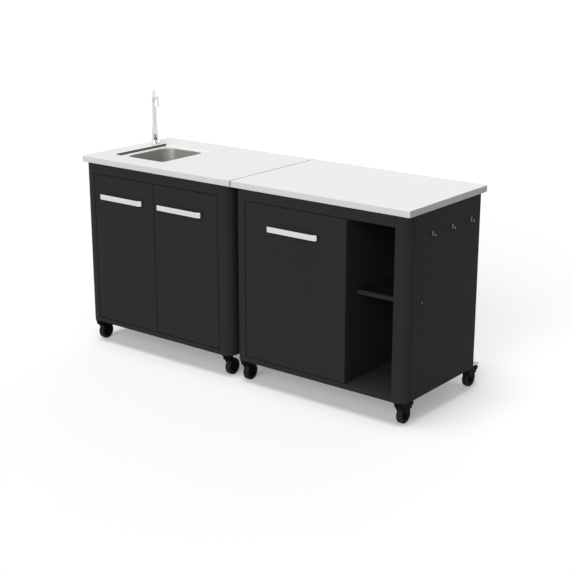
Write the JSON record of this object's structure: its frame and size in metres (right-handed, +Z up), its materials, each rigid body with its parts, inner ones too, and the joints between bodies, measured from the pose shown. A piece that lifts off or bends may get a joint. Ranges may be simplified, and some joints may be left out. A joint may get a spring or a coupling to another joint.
{
  "type": "outdoor kitchen unit",
  "caption": "Free-standing outdoor kitchen on casters: dark sheet-steel cabinets, pale steel worktops, sink with swan-neck tap, hinged doors, open shelf compartment and side hooks.",
  "frame": {"origin": "on the floor, under the middle of the unit's bounding box", "axes": "+X along the unit towards the open compartment, +Y from the doors to the back, +Z up"},
  "size_m": [1.8092, 0.667, 1.1735],
  "materials": {
    "dark_coating": "satin powder coat",
    "satin_steel": "fine satin",
    "bowl_steel": "satin",
    "tap_chrome": "polished",
    "hook_steel": "bright",
    "trap_plastic": "matt",
    "caster_metal": "black, semi-gloss",
    "wheel_rubber": "matt",
    "pedal_plastic": "matt"
  },
  "bodies": {
    "cabinet": {"sink_module_left_post": "dark_coating", "sink_module_right_post": "dark_coating", "sink_module_top_rail": "dark_coating", "sink_module_base": "dark_coating", "sink_module_back_panel": "dark_coating", "sink_module_left_side": "dark_coating", "sink_module_right_side": "dark_coating", "open_module_left_post": "dark_coating", "open_module_right_post": "dark_coating", "open_module_top_rail": "dark_coating", "open_module_base": "dark_coating", "open_module_back_panel": "dark_coating", "open_module_left_side": "dark_coating", "open_module_right_side": "dark_coating", "joining_channel": "dark_coating", "divider": "dark_coating", "shelf": "dark_coating", "shelf_screw": "hook_steel", "side_hook_1": "hook_steel", "side_hook_2": "hook_steel", "side_hook_3": "hook_steel", "sink_worktop": "satin_steel", "plain_worktop": "satin_steel", "sink_bowl": "bowl_steel", "sink_strainer": "tap_chrome", "sink_trap": "trap_plastic", "tap_body": "tap_chrome", "tap_nut": "tap_chrome", "sink_module_left_caster_beam": "caster_metal", "sink_module_right_caster_beam": "caster_metal", "open_module_left_caster_beam": "caster_metal", "open_module_right_caster_beam": "caster_metal"},
    "sink_left_door": {"sink_left_door": "dark_coating", "sink_left_door_handle": "satin_steel"},
    "sink_right_door": {"sink_right_door": "dark_coating", "sink_right_door_handle": "satin_steel"},
    "wide_door": {"wide_door": "dark_coating", "wide_door_handle": "satin_steel"},
    "tap_spout": {"tap_spout": "tap_chrome"},
    "tap_knob": {"tap_knob": "tap_chrome"},
    "caster_1": {"caster_fork_1": "caster_metal"},
    "caster_2": {"caster_fork_2": "caster_metal"},
    "caster_3": {"caster_fork_3": "caster_metal"},
    "caster_4": {"caster_fork_4": "caster_metal"},
    "caster_5": {"caster_fork_5": "caster_metal"},
    "caster_6": {"caster_fork_6": "caster_metal"},
    "caster_7": {"caster_fork_7": "caster_metal"},
    "caster_8": {"caster_fork_8": "caster_metal"},
    "wheel_1": {"caster_wheel_1": "wheel_rubber"},
    "wheel_2": {"caster_wheel_2": "wheel_rubber"},
    "wheel_3": {"caster_wheel_3": "wheel_rubber"},
    "wheel_4": {"caster_wheel_4": "wheel_rubber"},
    "wheel_5": {"caster_wheel_5": "wheel_rubber"},
    "wheel_6": {"caster_wheel_6": "wheel_rubber"},
    "wheel_7": {"caster_wheel_7": "wheel_rubber"},
    "wheel_8": {"caster_wheel_8": "wheel_rubber"},
    "brake_1": {"brake_pedal_1": "pedal_plastic"},
    "brake_2": {"brake_pedal_2": "pedal_plastic"},
    "brake_7": {"brake_pedal_7": "pedal_plastic"},
    "brake_8": {"brake_pedal_8": "pedal_plastic"}
  },
  "joints": [
    {"name": "sink_left_door_hinge", "type": "hinge", "parent": "cabinet", "child": "sink_left_door", "pos_m": [-0.81565, -0.2945, 0.475], "axis": [0, 0, -1], "range_deg": [0, 95]},
    {"name": "sink_right_door_hinge", "type": "hinge", "parent": "cabinet", "child": "sink_right_door", "pos_m": [-0.10165, -0.2945, 0.475], "axis": [0, 0, 1], "range_deg": [0, 95]},
    {"name": "wide_door_hinge", "type": "hinge", "parent": "cabinet", "child": "wide_door", "pos_m": [0.09235, -0.2945, 0.475], "axis": [0, 0, -1], "range_deg": [0, 95]},
    {"name": "tap_spout_swivel", "type": "hinge", "parent": "cabinet", "child": "tap_spout", "pos_m": [-0.85965, 0.1345, 0.943], "axis": [0, 0, 1], "range_deg": [-110, 110]},
    {"name": "tap_knob_turn", "type": "hinge", "parent": "cabinet", "child": "tap_knob", "pos_m": [-0.8481, 0.12446, 0.927], "axis": [0.7547, -0.6561, 0], "range_deg": [0, 90]},
    {"name": "caster_1_swivel", "type": "hinge", "parent": "cabinet", "child": "caster_1", "pos_m": [-0.86065, -0.2785, 0.0965], "axis": [0, 0, 1], "continuous": true},
    {"name": "wheel_1_spin", "type": "hinge", "parent": "caster_1", "child": "wheel_1", "pos_m": [-0.86065, -0.2445, 0.0375], "axis": [1, 0, 0], "continuous": true},
    {"name": "brake_1_press", "type": "hinge", "parent": "caster_1", "child": "brake_1", "pos_m": [-0.86065, -0.2145, 0.074], "axis": [-1, 0, 0], "range_deg": [0, 9]},
    {"name": "caster_2_swivel", "type": "hinge", "parent": "cabinet", "child": "caster_2", "pos_m": [-0.86065, 0.2435, 0.0965], "axis": [0, 0, 1], "continuous": true},
    {"name": "wheel_2_spin", "type": "hinge", "parent": "caster_2", "child": "wheel_2", "pos_m": [-0.86065, 0.2775, 0.0375], "axis": [1, 0, 0], "continuous": true},
    {"name": "brake_2_press", "type": "hinge", "parent": "caster_2", "child": "brake_2", "pos_m": [-0.86065, 0.3075, 0.074], "axis": [-1, 0, 0], "range_deg": [0, 9]},
    {"name": "caster_3_swivel", "type": "hinge", "parent": "cabinet", "child": "caster_3", "pos_m": [-0.05665, -0.2785, 0.0965], "axis": [0, 0, 1], "continuous": true},
    {"name": "wheel_3_spin", "type": "hinge", "parent": "caster_3", "child": "wheel_3", "pos_m": [-0.05665, -0.2445, 0.0375], "axis": [1, 0, 0], "continuous": true},
    {"name": "caster_4_swivel", "type": "hinge", "parent": "cabinet", "child": "caster_4", "pos_m": [-0.05665, 0.2435, 0.0965], "axis": [0, 0, 1], "continuous": true},
    {"name": "wheel_4_spin", "type": "hinge", "parent": "caster_4", "child": "wheel_4", "pos_m": [-0.05665, 0.2775, 0.0375], "axis": [1, 0, 0], "continuous": true},
    {"name": "caster_5_swivel", "type": "hinge", "parent": "cabinet", "child": "caster_5", "pos_m": [0.04735, -0.2785, 0.0965], "axis": [0, 0, 1], "continuous": true},
    {"name": "wheel_5_spin", "type": "hinge", "parent": "caster_5", "child": "wheel_5", "pos_m": [0.04735, -0.2445, 0.0375], "axis": [1, 0, 0], "continuous": true},
    {"name": "caster_6_swivel", "type": "hinge", "parent": "cabinet", "child": "caster_6", "pos_m": [0.04735, 0.2435, 0.0965], "axis": [0, 0, 1], "continuous": true},
    {"name": "wheel_6_spin", "type": "hinge", "parent": "caster_6", "child": "wheel_6", "pos_m": [0.04735, 0.2775, 0.0375], "axis": [1, 0, 0], "continuous": true},
    {"name": "caster_7_swivel", "type": "hinge", "parent": "cabinet", "child": "caster_7", "pos_m": [0.85135, -0.2785, 0.0965], "axis": [0, 0, 1], "continuous": true},
    {"name": "wheel_7_spin", "type": "hinge", "parent": "caster_7", "child": "wheel_7", "pos_m": [0.85135, -0.2445, 0.0375], "axis": [1, 0, 0], "continuous": true},
    {"name": "brake_7_press", "type": "hinge", "parent": "caster_7", "child": "brake_7", "pos_m": [0.85135, -0.2145, 0.074], "axis": [-1, 0, 0], "range_deg": [0, 9]},
    {"name": "caster_8_swivel", "type": "hinge", "parent": "cabinet", "child": "caster_8", "pos_m": [0.85135, 0.2435, 0.0965], "axis": [0, 0, 1], "continuous": true},
    {"name": "wheel_8_spin", "type": "hinge", "parent": "caster_8", "child": "wheel_8", "pos_m": [0.85135, 0.2775, 0.0375], "axis": [1, 0, 0], "continuous": true},
    {"name": "brake_8_press", "type": "hinge", "parent": "caster_8", "child": "brake_8", "pos_m": [0.85135, 0.3075, 0.074], "axis": [-1, 0, 0], "range_deg": [0, 9]}
  ]
}
